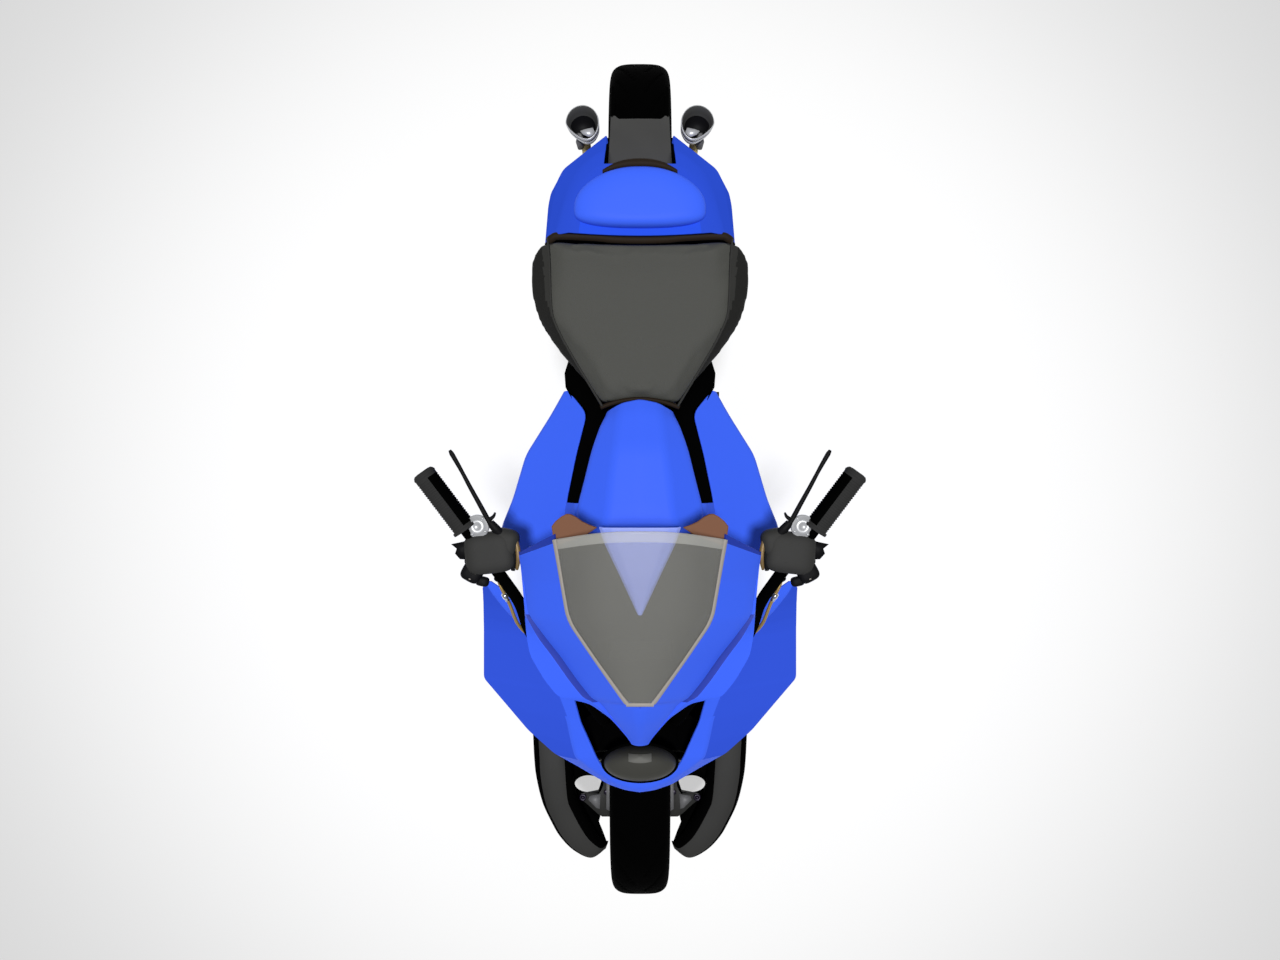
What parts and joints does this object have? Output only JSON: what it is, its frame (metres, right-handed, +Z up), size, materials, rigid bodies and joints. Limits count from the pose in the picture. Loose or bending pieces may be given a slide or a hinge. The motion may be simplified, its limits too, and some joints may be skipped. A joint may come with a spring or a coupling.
{
  "type": "sport bike",
  "caption": "Fully faired sport motorcycle with clip-on bars, smoked screen, twin high mufflers, spinning wheels, turning fork, centre stand and folded side stand.",
  "frame": {"origin": "on the floor, midway along the bike's length and on its centre plane", "axes": "+Z up, nose towards -Y, tail towards +Y, +X to the rider's left"},
  "size_m": [0.7974, 2, 1.1235],
  "materials": {
    "blue_paint": "gloss",
    "pale_blue_paint": "gloss",
    "black_metal": "satin",
    "seat_cover": "matt",
    "tyre": "matt",
    "rim_paint": "gloss",
    "steel": "brushed",
    "cast_alloy": "cast",
    "gold_alloy": "anodised",
    "chrome": "polished",
    "smoked_screen": "gloss",
    "dark_plastic": "matt",
    "rubber": "matt",
    "lamp": "gloss",
    "red_lens": "gloss",
    "copper": "satin"
  },
  "bodies": {
    "chassis": {"swingarm_pin": "steel", "subframe": "black_metal", "engine_block": "cast_alloy", "radiator": "dark_plastic", "swingarm": "black_metal", "rear_axle": "steel", "fuel_tank": "blue_paint", "seat": "seat_cover", "tail_cowl": "blue_paint", "tail_light": "red_lens", "rear_mudguard": "dark_plastic", "windscreen": "smoked_screen", "upper_cowl": "blue_paint", "cowl_wing_l": "blue_paint", "cowl_wing_r": "blue_paint", "side_fairing_l": "blue_paint", "side_fairing_r": "blue_paint", "belly_pan": "dark_plastic", "headlamp": "lamp", "instrument": "dark_plastic", "exhaust_pipes": "steel", "stand_pin": "steel", "side_stand_pin": "steel", "chain": "steel", "rear_shock": "black_metal", "pivot_plates": "black_metal", "mufflers": "black_metal", "footrests": "black_metal", "main_frame": "black_metal", "frame_covers": "black_metal", "dash_hood": "pale_blue_paint", "cockpit_liner": "dark_plastic", "cockpit_trim": "copper", "muffler_outlets": "chrome"},
    "steering": {"fork_uppers": "black_metal", "fork_sliders": "chrome", "fork_feet": "black_metal", "front_axle": "steel", "top_yoke": "black_metal", "bottom_yoke": "black_metal", "handlebars": "black_metal", "grips": "rubber", "control_housings": "dark_plastic", "levers": "dark_plastic", "front_calipers": "black_metal", "wheel_guards": "dark_plastic", "brake_hoses": "gold_alloy"},
    "front_wheel": {"front_tyre": "tyre", "front_rim": "rim_paint", "front_discs": "steel"},
    "rear_wheel": {"rear_tyre": "tyre", "rear_rim": "rim_paint", "rear_disc": "steel", "rear_sprocket": "steel"},
    "centre_stand": {"centre_stand": "black_metal"},
    "side_stand": {"side_stand": "black_metal"}
  },
  "joints": [
    {"name": "steering", "type": "hinge", "parent": "chassis", "child": "steering", "pos_m": [0, -0.46608, 0.75], "axis": [0, 0.4067, 0.9135], "range_deg": [-22, 22]},
    {"name": "front_wheel_spin", "type": "hinge", "parent": "steering", "child": "front_wheel", "pos_m": [0, -0.7, 0.3], "axis": [1, 0, 0], "continuous": true},
    {"name": "rear_wheel_spin", "type": "hinge", "parent": "chassis", "child": "rear_wheel", "pos_m": [0, 0.7, 0.31], "axis": [1, 0, 0], "continuous": true},
    {"name": "centre_stand_fold", "type": "hinge", "parent": "chassis", "child": "centre_stand", "pos_m": [0, 0.175, 0.3], "axis": [1, 0, 0], "range_deg": [0, 80]},
    {"name": "side_stand_fold", "type": "hinge", "parent": "chassis", "child": "side_stand", "pos_m": [0.172, 0.02, 0.225], "axis": [-1, 0, 0], "range_deg": [0, 95]}
  ]
}
